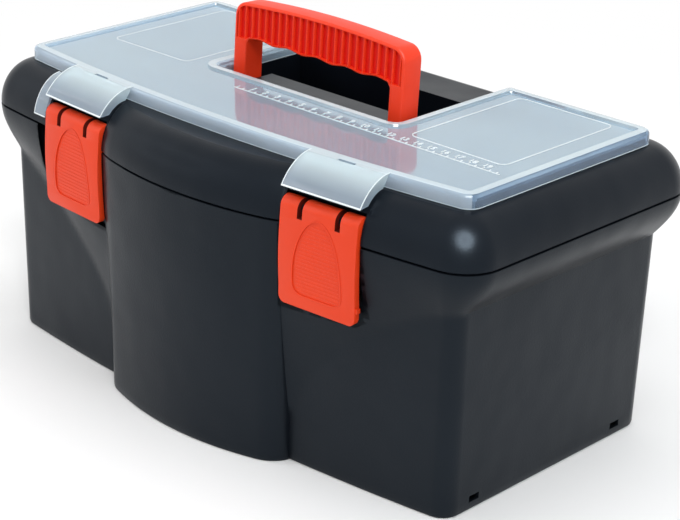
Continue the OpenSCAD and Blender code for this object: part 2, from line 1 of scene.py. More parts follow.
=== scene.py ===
# Hard tool case: moulded tub and lid, clear organiser cover, two latches and a folding handle.
import bpy
import bmesh
from math import sin, cos, pi, radians, degrees, sqrt, asin
from mathutils import Vector, Matrix


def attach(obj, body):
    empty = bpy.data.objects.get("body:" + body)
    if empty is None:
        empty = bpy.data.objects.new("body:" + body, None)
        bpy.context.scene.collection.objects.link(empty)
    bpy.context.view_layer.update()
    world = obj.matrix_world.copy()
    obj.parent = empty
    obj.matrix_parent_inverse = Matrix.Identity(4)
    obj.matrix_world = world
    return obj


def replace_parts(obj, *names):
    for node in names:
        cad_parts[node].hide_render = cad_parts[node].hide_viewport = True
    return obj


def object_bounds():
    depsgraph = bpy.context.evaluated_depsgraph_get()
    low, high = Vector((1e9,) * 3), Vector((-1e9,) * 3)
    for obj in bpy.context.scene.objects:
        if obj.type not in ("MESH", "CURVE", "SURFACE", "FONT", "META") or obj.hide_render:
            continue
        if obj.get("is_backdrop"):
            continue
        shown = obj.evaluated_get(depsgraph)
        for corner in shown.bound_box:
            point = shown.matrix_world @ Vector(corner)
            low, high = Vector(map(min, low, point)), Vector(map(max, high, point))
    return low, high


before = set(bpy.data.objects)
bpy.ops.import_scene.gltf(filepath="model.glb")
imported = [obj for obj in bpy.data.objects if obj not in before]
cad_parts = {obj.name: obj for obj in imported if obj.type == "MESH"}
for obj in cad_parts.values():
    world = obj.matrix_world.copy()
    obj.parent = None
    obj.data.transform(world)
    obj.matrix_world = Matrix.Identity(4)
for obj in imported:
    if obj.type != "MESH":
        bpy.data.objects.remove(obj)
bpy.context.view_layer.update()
mm = 0.001
scene = bpy.context.scene

# sizes in millimetres, the same as the solids
case = {
    "length": 400, "tubWidth": 191.5, "tubHeight": 150.6, "parting": 0.8, "lidHeight": 27.3,
    "rimEnd": 16, "rimBack": 14, "rimFront": 11.4, "draft": 1.8, "flare": 27, "wall": 2.5,
    "bowRadius": 1300, "footRadius": 12, "rimRadius": 24,
    "bulgeOut": 22, "bulgeHalf": 74, "bulgeFootR": 190, "bulgeRimR": 245, "bulgeEnd": 12,
    "creaseLow": 28, "creaseReach": 1.3, "creaseRise": 0.65, "lidRoll": 19, "leastRadius": 3,
}
footHalf = case["length"]/2 - case["rimEnd"]
flareZ = case["tubHeight"] - case["flare"]
lidZ = case["tubHeight"] + case["parting"]
lidTop = lidZ + case["lidHeight"]
bulgeHalf = case["bulgeHalf"]
frontLine = -case["tubWidth"]/2


# ---- meshes ----
def newPiece(name, mesh):
    piece = bpy.data.objects.new(name, mesh)
    scene.collection.objects.link(piece)
    return piece


def meshPiece(name, points, faces):
    mesh = bpy.data.meshes.new(name)
    mesh.from_pydata([(x*mm, y*mm, z*mm) for x, y, z in points], [], faces)
    work = bmesh.new()
    work.from_mesh(mesh)
    bmesh.ops.recalc_face_normals(work, faces=work.faces)
    work.to_mesh(mesh)
    work.free()
    return newPiece(name, mesh)


def loftPiece(name, levels):  # levels are (z, ring), all rings of one length
    count, points, faces = len(levels[0][1]), [], []
    for z, ring in levels:
        points += [(x, y, z) for x, y in ring]
    for k in range(len(levels) - 1):
        for i in range(count):
            j = (i + 1) % count
            faces.append((k*count + i, k*count + j, (k + 1)*count + j, (k + 1)*count + i))
    faces.append(tuple(reversed(range(count))))
    faces.append(tuple((len(levels) - 1)*count + i for i in range(count)))
    return meshPiece(name, points, faces)


def prism(name, near, far):  # two rings of one length
    n = len(near)
    faces = [(i, (i + 1) % n, n + (i + 1) % n, n + i) for i in range(n)]
    return meshPiece(name, near + far, faces + [tuple(range(n)), tuple(range(2*n - 1, n - 1, -1))])


def prismX(name, outline, x0, x1):  # outline in (y, z)
    return prism(name, [(x0, y, z) for y, z in outline], [(x1, y, z) for y, z in outline])


def prismY(name, outline, y0, y1):  # outline in (x, z)
    return prism(name, [(x, y0, z) for x, z in outline], [(x, y1, z) for x, z in outline])


def prismZ(name, outline, z0, z1):  # outline in (x, y)
    return loftPiece(name, [(z0, outline), (z1, outline)])


def boxPiece(name, low, high):
    (x0, y0, z0), (x1, y1, z1) = low, high
    return prismX(name, [(y0, z0), (y1, z0), (y1, z1), (y0, z1)], x0, x1)


def rodX(name, x0, x1, y, z, radius, steps=48):
    turns = [2*pi*i/steps for i in range(steps)]
    return prismX(name, [(y + radius*cos(a), z + radius*sin(a)) for a in turns], x0, x1)


def settle(piece):  # live modifiers become mesh
    made = bpy.data.meshes.new_from_object(piece.evaluated_get(bpy.context.evaluated_depsgraph_get()))
    piece.modifiers.clear()
    piece.data = made
    return piece


def roundEdges(piece, width, segments):
    soft = piece.modifiers.new("round", "BEVEL")
    soft.width, soft.segments = width*mm, segments
    soft.limit_method, soft.angle_limit = "ANGLE", radians(50)
    settle(piece)


def carve(piece, *others, how="DIFFERENCE"):
    for other in others:
        step = piece.modifiers.new("carve", "BOOLEAN")
        step.operation, step.object, step.solver = how, other, "MANIFOLD"
        settle(piece)
        bpy.data.objects.remove(other)
    return piece


def join(piece, *others):
    return carve(piece, *others, how="UNION")


def keepCommon(piece, other):
    return carve(piece, other, how="INTERSECT")


def gather(name, pieces):  # several loose pieces as one mesh
    work = bmesh.new()
    for piece in pieces:
        work.from_mesh(piece.data)
        bpy.data.objects.remove(piece)
    mesh = bpy.data.meshes.new(name)
    work.to_mesh(mesh)
    work.free()
    return newPiece(name, mesh)


def smooth(piece, limit=32):
    piece.data.shade_smooth()
    piece.data.set_sharp_from_angle(angle=radians(limit))
    return piece


def place(piece, matrix):
    piece.data.transform(matrix)
    return piece


# ---- outline of the case ----
def flareShare(z, low):  # 0 below the flare, 1 at the rim
    return sin(pi/2*min(1, max(0, (z - low)/(case["tubHeight"] - low))))


def leaning(z, out):  # draft of the wall, then the flare out to the rim
    return case["draft"]*min(1, z/flareZ) + (out - case["draft"])*flareShare(z, flareZ)


def creaseHeight(x):  # where the front begins to flare: low beside the bulge, high at the ends
    d = min(1, max(0, (footHalf - abs(x))/(footHalf - bulgeHalf)))
    rise = (1 - d**case["creaseReach"])**case["creaseRise"]
    return case["creaseLow"] + (flareZ - case["creaseLow"])*rise


def frontEdge(x, z):
    panel = frontLine + x*x/(2*case["bowRadius"]) - case["draft"]*min(1, z/flareZ) \
        - (case["rimFront"] - case["draft"])*flareShare(z, creaseHeight(x))
    radius = case["bulgeFootR"] + (case["bulgeRimR"] - case["bulgeFootR"])*min(1, z/case["tubHeight"])
    bulge = frontLine - case["bulgeOut"] + x*x/(2*radius)
    s = min(1, max(0, (bulgeHalf - abs(x))/case["bulgeEnd"]))
    return panel + min(0, bulge - panel)*sqrt(1 - (1 - s)**2)


def mirrored(half):  # right half of an outline and its mirror image
    return half + [(-x, y) for x, y in reversed(half) if x > 0.01]


def arcTurns(a0, a1, steps):
    return [radians(a0 + (a1 - a0)*i/steps) for i in range(steps + 1)]


def cornerArc(cx, cy, r, a0, a1, steps):
    return [(cx + r*cos(a), cy + r*sin(a)) for a in arcTurns(a0, a1, steps)]


def caseRing(z, inset=0):  # outline of the case at one height
    z = min(z, case["tubHeight"])
    half = footHalf + leaning(z, case["rimEnd"]) - inset
    back = case["tubWidth"]/2 + leaning(z, case["rimBack"]) - inset
    grown = case["footRadius"] + (case["rimRadius"] - case["footRadius"])*flareShare(z, flareZ)
    r = max(case["leastRadius"], grown - 0.8*inset)
    end = half - r
    bow = case["bowRadius"]
    tangent, slope = end*bow/(bow - r), degrees(asin(end/bow))
    inner = bulgeHalf - case["bulgeEnd"]
    stations = [inner*i/18 for i in range(18)]
    stations += [bulgeHalf - case["bulgeEnd"]*(1 - sin(pi/2*i/12)) for i in range(13)]
    stations += [bulgeHalf + (tangent - bulgeHalf)*i/26 for i in range(1, 27)]
    ring = [(x, frontEdge(x, z) + inset) for x in stations]
    startY = ring[-1][1] + r*cos(radians(slope))
    ring += cornerArc(end, startY, r, slope - 90, 0, 14)[1:]
    ring += cornerArc(end, back - r, r, 0, 90, 14)
    return mirrored(ring)


def rollLevels(height, roll, low, inset0, angles):  # quarter-round edge of the lid
    return [(low + height*sin(radians(a)), caseRing(case["tubHeight"], inset0 + roll*(1 - cos(radians(a)))))
            for a in angles]


# ---- materials ----
def nodesOf(name):
    material = bpy.data.materials.new(name)
    material.use_nodes = True
    tree = material.node_tree
    return material, tree.nodes, tree.links, tree.nodes["Principled BSDF"]


def speckle(nodes, links, scale, detail):
    where = nodes.new("ShaderNodeTexCoord")
    noise = nodes.new("ShaderNodeTexNoise")
    noise.inputs["Scale"].default_value = scale
    noise.inputs["Detail"].default_value = detail
    links.new(where.outputs["Object"], noise.inputs["Vector"])
    return noise


def ramp(nodes, links, source, stops):
    made = nodes.new("ShaderNodeValToRGB")
    for element, (position, color) in zip(made.color_ramp.elements, stops):
        element.position, element.color = position, (*color, 1)
    links.new(source, made.inputs["Fac"])
    return made


def span(nodes, links, source, low, high, start=0, end=1):
    made = nodes.new("ShaderNodeMapRange")
    made.inputs["From Min"].default_value = start
    made.inputs["From Max"].default_value = end
    made.inputs["To Min"].default_value = low
    made.inputs["To Max"].default_value = high
    links.new(source, made.inputs["Value"])
    return made.outputs["Result"]


def mouldedPlastic(name, dark, light, rough, grain, depth, specular=0.5, tint=(1, 1, 1), sway=0.0):
    material, nodes, links, skin = nodesOf(name)
    broad = speckle(nodes, links, scale=9, detail=4)
    tone = ramp(nodes, links, broad.outputs["Fac"], [(0.3, dark), (0.7, light)])
    links.new(tone.outputs["Color"], skin.inputs["Base Color"])
    worn = speckle(nodes, links, scale=45, detail=3)
    links.new(span(nodes, links, worn.outputs["Fac"], rough[0], rough[1]), skin.inputs["Roughness"])
    fine = speckle(nodes, links, scale=grain, detail=2)
    bump = nodes.new("ShaderNodeBump")
    bump.inputs["Strength"].default_value = depth
    bump.inputs["Distance"].default_value = 0.0002
    links.new(fine.outputs["Fac"], bump.inputs["Height"])
    links.new(bump.outputs["Normal"], skin.inputs["Normal"])
    uneven = speckle(nodes, links, scale=15, detail=2)  # walls are never quite flat
    swell = nodes.new("ShaderNodeBump")
    swell.inputs["Strength"].default_value = sway
    swell.inputs["Distance"].default_value = 0.004
    links.new(uneven.outputs["Fac"], swell.inputs["Height"])
    links.new(swell.outputs["Normal"], bump.inputs["Normal"])
    skin.inputs["Specular IOR Level"].default_value = specular
    skin.inputs["Specular Tint"].default_value = (*tint, 1)
    return material


def clearPlastic(name, dark, light, through, ior=1.45, paintedTopLight=None):
    material, nodes, links, skin = nodesOf(name)
    haze = speckle(nodes, links, scale=14, detail=3)
    tone = ramp(nodes, links, haze.outputs["Fac"], [(0.3, dark), (0.7, light)])
    links.new(tone.outputs["Color"], skin.inputs["Base Color"])
    links.new(span(nodes, links, haze.outputs["Fac"], 0.04, 0.12), skin.inputs["Roughness"])
    skin.inputs["Transmission Weight"].default_value = through
    skin.inputs["IOR"].default_value = ior
    if paintedTopLight:  # paler from one height to another: painted light, lighter towards the top
        where, parts = nodes.new("ShaderNodeTexCoord"), nodes.new("ShaderNodeSeparateXYZ")
        links.new(where.outputs["Object"], parts.inputs[0])
        links.new(span(nodes, links, parts.outputs["Z"], 0, 1, *paintedTopLight), tone.inputs["Fac"])
    return material


def steelFinish(name):
    material, nodes, links, skin = nodesOf(name)
    drawn = speckle(nodes, links, scale=120, detail=2)
    tone = ramp(nodes, links, drawn.outputs["Fac"], [(0.2, (0.42, 0.42, 0.43)), (0.8, (0.55, 0.55, 0.56))])
    links.new(tone.outputs["Color"], skin.inputs["Base Color"])
    links.new(span(nodes, links, drawn.outputs["Fac"], 0.25, 0.4), skin.inputs["Roughness"])
    skin.inputs["Metallic"].default_value = 1.0
    return material


coolShine = (0.68, 0.84, 1)
blackTub = mouldedPlastic("blackTub", (0.0030, 0.0042, 0.0066), (0.0050, 0.0066, 0.0094), (0.26, 0.38),
                          900, 0.35, specular=0.21, tint=coolShine, sway=0.5)
blackLid = mouldedPlastic("blackLid", (0.0026, 0.0038, 0.0064), (0.0044, 0.0060, 0.0092), (0.25, 0.37),
                          900, 0.25, specular=0.19, tint=coolShine, sway=0.6)
orangeLatch = mouldedPlastic("orangeLatch", (0.66, 0.037, 0.003), (0.71, 0.044, 0.005), (0.38, 0.48),
                             1200, 0.2, specular=0.3)
orangeHandle = mouldedPlastic("orangeHandle", (0.78, 0.033, 0.004), (0.84, 0.041, 0.007), (0.38, 0.48),
                              1200, 0.2, specular=0.3)
# dark orange painted shade for the walls of the latch slots
slotPaintedShade = mouldedPlastic("slotPaintedShade", (0.10, 0.006, 0.002), (0.13, 0.008, 0.003), (0.5, 0.6),
                           1200, 0.2, specular=0.1)
# deeper red painted shade for the floors of the handle's fluted recesses
orangeGroovePaintedShade = mouldedPlastic("orangeGroovePaintedShade", (0.66, 0.006, 0.002), (0.72, 0.009, 0.003), (0.36, 0.46),
                              1200, 0.2, specular=0.3)
greyTray = mouldedPlastic("greyTray", (0.09, 0.09, 0.095), (0.12, 0.12, 0.125), (0.4, 0.5), 900, 0.3)
clearCover = clearPlastic("clearCover", (0.565, 0.735, 0.865), (0.645, 0.815, 0.925), 0.68, 1.75)
clearSkirt = clearPlastic("clearSkirt", (0.28, 0.40, 0.56), (0.34, 0.46, 0.62), 0.80)
milkyFront = clearPlastic("milkyFront", (0.56, 0.66, 0.76), (0.62, 0.72, 0.82), 0.62)
# milky hoods with painted light: paler towards the top
milkyHoodPaintedLight = clearPlastic("milkyHoodPaintedLight", (0.46, 0.55, 0.64), (0.84, 0.96, 1.0), 0.62, paintedTopLight=(0.170, 0.192))
# milky plastic brightened as a painted highlight on the raised border and the lower edge
milkyEdgePaintedHighlight = clearPlastic("milkyEdgePaintedHighlight", (0.62, 0.71, 0.76), (0.68, 0.77, 0.81), 0.34)
# white for the moulded ruler and frames, and for the painted highlight strips on the cover's edges
whiteMarkAndHighlight = clearPlastic("whiteMarkAndHighlight", (0.84, 0.90, 0.93), (0.88, 0.93, 0.95), 0.20)
pinSteel = steelFinish("pinSteel")


def dress(piece, material):
    piece.data.materials.clear()
    piece.data.materials.append(material)
    for face in piece.data.polygons:
        face.material_index = 0
    return piece


# ---- rows made by Geometry Nodes ----
# bars of one round section in a row, which may follow an arch and grow shorter toward the row's end
def ribTree(name):
    tree = bpy.data.node_groups.new(name, "GeometryNodeTree")
    face = tree.interface
    face.new_socket("Geometry", in_out="OUTPUT", socket_type="NodeSocketGeometry")
    sockets = {"Count": "Int", "Start": "Vector", "Step": "Vector", "Bar": "Vector", "Turn": "Vector",
               "Arch Half": "Float", "Arch Drop": "Float", "Taper From": "Float"}
    for label, kind in sockets.items():
        face.new_socket(label, in_out="INPUT", socket_type="NodeSocket" + kind)
    nodes, links = tree.nodes, tree.links
    given, out = nodes.new("NodeGroupInput"), nodes.new("NodeGroupOutput")

    def math(kind, a, b=None):
        made = nodes.new("ShaderNodeMath")
        made.operation = kind
        for slot, value in enumerate((a, b)):
            if value is None:
                continue
            if isinstance(value, (int, float)):
                made.inputs[slot].default_value = value
            else:
                links.new(value, made.inputs[slot])
        return made.outputs[0]

    line = nodes.new("GeometryNodeMeshLine")
    line.mode = "OFFSET"
    links.new(given.outputs["Count"], line.inputs["Count"])
    links.new(given.outputs["Start"], line.inputs["Start Location"])
    links.new(given.outputs["Step"], line.inputs["Offset"])
    where, parts = nodes.new("GeometryNodeInputPosition"), nodes.new("ShaderNodeSeparateXYZ")
    links.new(where.outputs[0], parts.inputs[0])
    reach = math("DIVIDE", parts.outputs["X"], given.outputs["Arch Half"])
    drop = math("MULTIPLY", math("MULTIPLY", reach, reach), given.outputs["Arch Drop"])
    shift, down = nodes.new("GeometryNodeSetPosition"), nodes.new("ShaderNodeCombineXYZ")
    links.new(math("MULTIPLY", drop, -0.5), down.inputs["Z"])
    links.new(line.outputs["Mesh"], shift.inputs["Geometry"])
    links.new(down.outputs[0], shift.inputs["Offset"])
    bar = nodes.new("GeometryNodeMeshCylinder")
    bar.inputs["Vertices"].default_value = 10
    bar.inputs["Radius"].default_value = 0.5
    bar.inputs["Depth"].default_value = 1.0
    index, last = nodes.new("GeometryNodeInputIndex"), math("SUBTRACT", given.outputs["Count"], 1)
    share = math("DIVIDE", index.outputs[0], math("MAXIMUM", last, 1))
    rowEnd, leastSpan, leastSize = 1.04, 0.02, 0.01
    start = given.outputs["Taper From"]
    past = math("DIVIDE", math("MAXIMUM", math("SUBTRACT", share, start), 0),
                math("MAXIMUM", math("SUBTRACT", rowEnd, start), leastSpan))
    narrow = math("SQRT", math("MAXIMUM", math("SUBTRACT", 1, math("MULTIPLY", past, past)), leastSize))
    sizes, size = nodes.new("ShaderNodeSeparateXYZ"), nodes.new("ShaderNodeCombineXYZ")
    links.new(given.outputs["Bar"], sizes.inputs[0])
    links.new(sizes.outputs["X"], size.inputs["X"])
    links.new(sizes.outputs["Y"], size.inputs["Y"])
    links.new(math("MULTIPLY", math("SUBTRACT", sizes.outputs["Z"], drop), narrow), size.inputs["Z"])
    copies = nodes.new("GeometryNodeInstanceOnPoints")
    links.new(shift.outputs["Geometry"], copies.inputs["Points"])
    links.new(bar.outputs["Mesh"], copies.inputs["Instance"])
    links.new(given.outputs["Turn"], copies.inputs["Rotation"])
    links.new(size.outputs[0], copies.inputs["Scale"])
    real = nodes.new("GeometryNodeRealizeInstances")
    links.new(copies.outputs["Instances"], real.inputs[0])
    links.new(real.outputs[0], out.inputs[0])
    return tree


ribs = ribTree("ribRow")
flat = {"Arch Half": 1.0, "Arch Drop": 0.0}
even = {"Taper From": 2.0}  # a share past the end of any row


def ribRow(name, material, values):
    piece = newPiece(name, bpy.data.meshes.new(name))
    row = piece.modifiers.new("ribs", "NODES")
    row.node_group = ribs
    for item in ribs.interface.items_tree:
        if item.item_type == "SOCKET" and item.in_out == "INPUT" and item.name in values:
            row[item.identifier] = values[item.name]
    return dress(settle(piece), material)


def vector(x, y, z):
    return [x*mm, y*mm, z*mm]


print("case outline and finishes are ready")

# ---- latch stations ----
latch = {
    "width": 54, "x": 102.7, "yaw": 4, "foot": 105, "pinUp": 9.5, "bore": 1.56, "barrel": 6, "play": 0.5,
    "pocketFloor": 1.2, "lockWidth": 13, "lockDeep": 11, "lug": 2.6, "plate": 4, "catchZ": 121, "catchR": 1.6,
    "lidPocket": 7.2, "lidPocketUp": 8, "ahead": 2.8, "corner": 4.5, "slotHalf": 1.8, "lugShare": 0.245,
    "tabUp": 8, "tabOut": 1.2, "tabDeep": 2.8, "tabHigh": 2.6,
    "nubFront": -4, "nubBack": -0.7, "nubLow": 4.4, "nubHigh": 2.4,
}
latchY = frontLine - latch["ahead"]
aheadY = -60  # well in front of the latches
pinZ = lidZ + latch["pinUp"]
lugAt = latch["width"]*latch["lugShare"]


def atLatch(piece, side):
    station = Matrix.Translation(Vector((side*latch["x"], latchY, 0))*mm)
    return place(piece, station @ Matrix.Rotation(radians(side*latch["yaw"]), 4, "Z"))


def pocketBox(side, low, high, floorY, grow):
    w = latch["width"]/2 + latch["play"] + grow
    return atLatch(boxPiece("pocket", (-w, aheadY, low), (w, floorY, high)), side)


def lockBox(grow):
    x0, x1 = -latch["width"]/2 - latch["lockWidth"] - grow, -latch["width"]/2 + grow + 0.01
    low, high = latch["foot"] + 4 - grow, case["tubHeight"] + 1 + grow
    return atLatch(boxPiece("lockRecess", (x0, aheadY, low), (x1, latch["lockDeep"] + grow, high)), -1)


hinge = {
    "r": 3.85, "seat": 0.3, "knuckle": 16, "side": 10, "gap": 0.5, "x": 120,
    "webDeep": 5.4, "tubWeb": (143, 145.5, 148.5), "lidWeb": (154.8, 158),
}
hingeY = case["tubWidth"]/2 + case["rimBack"] + hinge["r"] + hinge["seat"]
hingeZ = lidZ - case["parting"]/2
webY = hingeY - hinge["webDeep"]

# ---- tub ----
tubShape = {
    "pocketLow": 102, "pocketHigh": 152, "backing": 2.5, "beadHalf": 13.5,
    "drains": (frontLine + 36.5, -frontLine - 26.5), "drainHalf": 4.15, "drainLow": 5, "drainHigh": 9,
    "ledgeRows": (-63, 0, 63), "ledgeHalf": 1.25, "ledgeLow": 78, "ledgeHigh": 91.99,
    "ledgeIn": 162, "ledgeOut": 182.5,
}


def tubOuter(name):
    foot, crease = 2, case["creaseLow"]
    heights = [foot + (crease - foot)*i/6 for i in range(7)]
    heights += [crease + (flareZ - crease)*i/36 for i in range(1, 37)]
    heights += [flareZ + case["flare"]*sin(radians(90*i/16)) for i in range(1, 17)]
    levels = [(0, caseRing(0, 1.3)), (0.5, caseRing(0, 0.5))] + [(z, caseRing(z)) for z in heights]
    top = levels.pop()[0]
    levels += [(top - 0.9, caseRing(top)), (top - 0.4, caseRing(top, 0.15)), (top, caseRing(top, 0.8))]
    return loftPiece(name, levels)


def tubInner():
    wall, crease = case["wall"], case["creaseLow"]
    heights = [wall] + [crease + (flareZ - crease)*i/12 for i in range(13)]
    heights += [flareZ + case["flare"]*sin(radians(90*i/8)) for i in range(1, 9)]
    levels = [(z, caseRing(z, wall)) for z in heights]
    return loftPiece("cavity", levels + [(case["tubHeight"] + 1, caseRing(case["tubHeight"], wall))])


tub = carve(tubOuter("tubShell"), tubInner())
grow = tubShape["backing"]
backing = [pocketBox(side, tubShape["pocketLow"] - grow, case["tubHeight"], latch["pocketFloor"] + grow, grow)
           for side in (1, -1)]
join(tub, keepCommon(join(*backing, lockBox(grow)), tubOuter("skin")))
webTop = case["tubHeight"] - 0.01
webLow, webMiddle, webHigh = hinge["tubWeb"]
tubWeb = [(webY, webLow), (hingeY, webMiddle), (hingeY + 3, webHigh), (hingeY, webTop), (webY, webTop)]
for side in (-1, 1):
    for k in (-1, 1):
        middle = side*hinge["x"] + k*(hinge["knuckle"]/2 + hinge["gap"] + hinge["side"]/2)
        a, b = middle - hinge["side"]/2, middle + hinge["side"]/2
        join(tub, rodX("knuckle", a, b, hingeY, hingeZ, hinge["r"]), prismX("web", tubWeb, a, b))
for side in (1, -1):
    carve(tub, pocketBox(side, tubShape["pocketLow"], tubShape["pocketHigh"], latch["pocketFloor"], 0))
carve(tub, lockBox(0))
pastEnd = case["length"]/2 + 10
for drainY in tubShape["drains"]:
    carve(tub, boxPiece("drain", (-pastEnd, drainY - tubShape["drainHalf"], tubShape["drainLow"]),
                        (pastEnd, drainY + tubShape["drainHalf"], tubShape["drainHigh"])))
for side in (-1, 1):
    bead = rodX("bead", -tubShape["beadHalf"], tubShape["beadHalf"], latch["pocketFloor"], latch["catchZ"],
                latch["catchR"], 24)
    join(tub, atLatch(bead, side))
    for y in tubShape["ledgeRows"]:
        x0, x1 = sorted((side*tubShape["ledgeIn"], side*tubShape["ledgeOut"]))
        join(tub, boxPiece("ledge", (x0, y - tubShape["ledgeHalf"], tubShape["ledgeLow"]),
                           (x1, y + tubShape["ledgeHalf"], tubShape["ledgeHigh"])))
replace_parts(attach(smooth(dress(tub, blackTub)), "tub"), "tub")
print("tub made")

# ---- lid ----
well = {"half": 74.75, "back": 61.4}
bins = {"half": 173, "front": -68.5, "back": 79.2, "mid": -17.1, "wingIn": 79.75, "deep": 21}
binZ = lidTop - bins["deep"]
lidCrease = 82  # angle at which the roll meets the flat top


def lidOuter(name):
    top = radians(lidCrease)
    levels = [(lidZ, caseRing(case["tubHeight"], 0.6))]
    for i in range(25):
        a = top*i/24
        z, inset = lidZ + case["lidHeight"]*sin(a)/sin(top), case["lidRoll"]*(1 - cos(a))/(1 - cos(top))
        levels.append((max(z, lidZ + 0.6), caseRing(case["tubHeight"], inset)))
    return loftPiece(name, levels)


wall = case["wall"]
hollow = rollLevels(case["lidHeight"] - wall, case["lidRoll"] - wall, lidZ, wall, range(0, 90, 10))
hollow.insert(0, (lidZ - 1, caseRing(case["tubHeight"], wall)))
lid = carve(lidOuter("lidShell"), loftPiece("cavity", hollow))
pocketTop = pinZ + latch["lidPocketUp"]
latchBack = [pocketBox(side, lidZ - 1, pocketTop + wall, latch["lidPocket"] + wall, wall) for side in (-1, 1)]
join(lid, keepCommon(join(*latchBack), lidOuter("skin")))
for side in (-1, 1):
    carve(lid, pocketBox(side, lidZ - 2, pocketTop, latch["lidPocket"], 0))
    a, b = sorted((side*(bins["wingIn"] - wall), side*(bins["half"] + wall)))
    carve(lid, boxPiece("wing", (a, bins["front"] - wall, binZ - wall), (b, bins["back"] + wall, lidTop + 1)))
carve(lid, boxPiece("strip", (-bins["half"], bins["front"] - wall, binZ - wall),
                    (bins["half"], bins["mid"] + wall, lidTop + 1)),
      boxPiece("well", (-bins["wingIn"], bins["mid"] + wall - 0.01, lidZ - 1),
               (bins["wingIn"], well["back"] + wall, lidTop + 1)))
lugR = 3.4
webLow, webHigh = hinge["lidWeb"]
lidWeb = [(webY, lidZ + 0.01), (hingeY, lidZ + 0.01), (hingeY, webLow), (webY, webHigh)]
for side in (-1, 1):
    for k in (-1, 1):
        a, b = k*lugAt - latch["lug"]/2, k*lugAt + latch["lug"]/2
        lug = rodX("lug", a, b, 0, pinZ, lugR)
        join(lug, boxPiece("lugBack", (a, 0, pinZ - lugR), (b, latch["lidPocket"] + 1.2, pinZ + lugR)))
        join(lid, atLatch(lug, side))
    x0 = side*hinge["x"] - hinge["knuckle"]/2
    join(lid, rodX("knuckle", x0, x0 + hinge["knuckle"], hingeY, hingeZ, hinge["r"]),
         prismX("web", lidWeb, x0, x0 + hinge["knuckle"]))
coverHinge = {
    "y": 91.4, "z": lidTop + 2.9, "r": 2.6, "bore": 1.06, "lug": 12, "ear": 5, "gap": 0.5, "reach": 14,
    "mid": (bins["wingIn"] + bins["half"])/2,
}
for side in (-1, 1):
    for k in (-1, 1):
        middle = side*coverHinge["mid"] + k*(coverHinge["lug"]/2 + coverHinge["gap"] + coverHinge["ear"]/2)
        x0 = middle - coverHinge["ear"]/2
        x1, r = x0 + coverHinge["ear"], coverHinge["r"]
        join(lid, rodX("earEye", x0, x1, coverHinge["y"], coverHinge["z"], r),
             boxPiece("ear", (x0, coverHinge["y"] - r, lidTop - 4),
                      (x1, coverHinge["y"] + r, coverHinge["z"])))
    pastLatch = latch["width"]/2 + 4
    carve(lid, atLatch(rodX("bore", -pastLatch, pastLatch, 0, pinZ, latch["bore"]), side))
    x0, x1 = side*coverHinge["mid"] - coverHinge["reach"], side*coverHinge["mid"] + coverHinge["reach"]
    carve(lid, rodX("bore", x0, x1, coverHinge["y"], coverHinge["z"], coverHinge["bore"]))
smooth(dress(lid, blackLid))
for edge in lid.data.edges:
    if all(lid.data.vertices[v].co.z > (lidTop - 0.02)*mm for v in edge.vertices):
        edge.use_edge_sharp = True
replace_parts(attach(lid, "lid"), "lid")
print("lid made")

# ---- clear cover ----
def roundBox(name, x0, x1, y0, y1, z0, z1, r):
    outline = cornerArc(x1 - r, y0 + r, r, -90, 0, 6) + cornerArc(x1 - r, y1 - r, r, 0, 90, 6) \
        + cornerArc(x0 + r, y1 - r, r, 90, 180, 6) + cornerArc(x0 + r, y0 + r, r, 180, 270, 6)
    return prismZ(name, outline, z0, z1)


cover = {
    "half": 182, "back": 88.2, "front": 85.5, "notchFront": 13.1, "height": 8.2, "wall": 1.8, "border": 6.5,
    "step": 1.3, "corner": 9, "hoodWidth": 55, "hoodA": 30.5, "hoodLow": 22, "windowHalf": 6,
    "windowFront": 3.5, "windowBack": 1.5, "ear": 11, "earGap": 0.9, "earLow": 14, "earHigh": 86,
}
coverZ = lidTop + 0.3
coverTop = coverZ + cover["height"]
panelTop = coverTop - cover["step"]
panelUnder = panelTop - cover["wall"]


def coverRing(inset):
    half, back, r = cover["half"] - inset, cover["back"] - inset, max(1, cover["corner"] - inset)
    end, apex, bow = half - r, inset - cover["front"], case["bowRadius"]
    nx, ny, nr = well["half"] + inset, -cover["notchFront"] - inset, 5 + inset
    ring = [(end*i/20, apex + (end*i/20)**2/(2*bow)) for i in range(21)]
    ring += cornerArc(end, apex + end*end/(2*bow) + r, r, -90, 0, 12)[1:]
    ring += cornerArc(end, back - r, r, 0, 90, 12)
    ring += cornerArc(nx + 2, back - 2, 2, 90, 180, 6)
    ring += cornerArc(nx - nr, ny + nr, nr, 0, -90, 12)
    return mirrored(ring + [(0, ny)])


def rollArc(gap, a0, a1, steps=12):  # follows the lid's roll in front of a latch, at a distance
    face = latch["x"]**2/(2*case["bowRadius"]) + frontLine - case["rimFront"] - latchY
    return [(face + case["lidRoll"] - (case["lidRoll"] + gap)*cos(a), lidZ + (case["lidHeight"] + gap)*sin(a))
            for a in arcTurns(a0, a1, steps)]


hoodB = coverTop - case["tubHeight"]
hoodBack = latch["x"]**2/(2*case["bowRadius"]) - cover["front"] - latchY + 2


def hoodArc(t, start=90, steps=20):  # quarter of an ellipse over a latch
    a, b = cover["hoodA"] - t, hoodB - t
    end = degrees(asin(cover["hoodLow"]/b))
    turns = [radians(start - (start - end)*i/steps) for i in range(steps + 1)]
    return [(hoodBack - a*cos(turn), case["tubHeight"] + b*sin(turn)) for turn in turns]


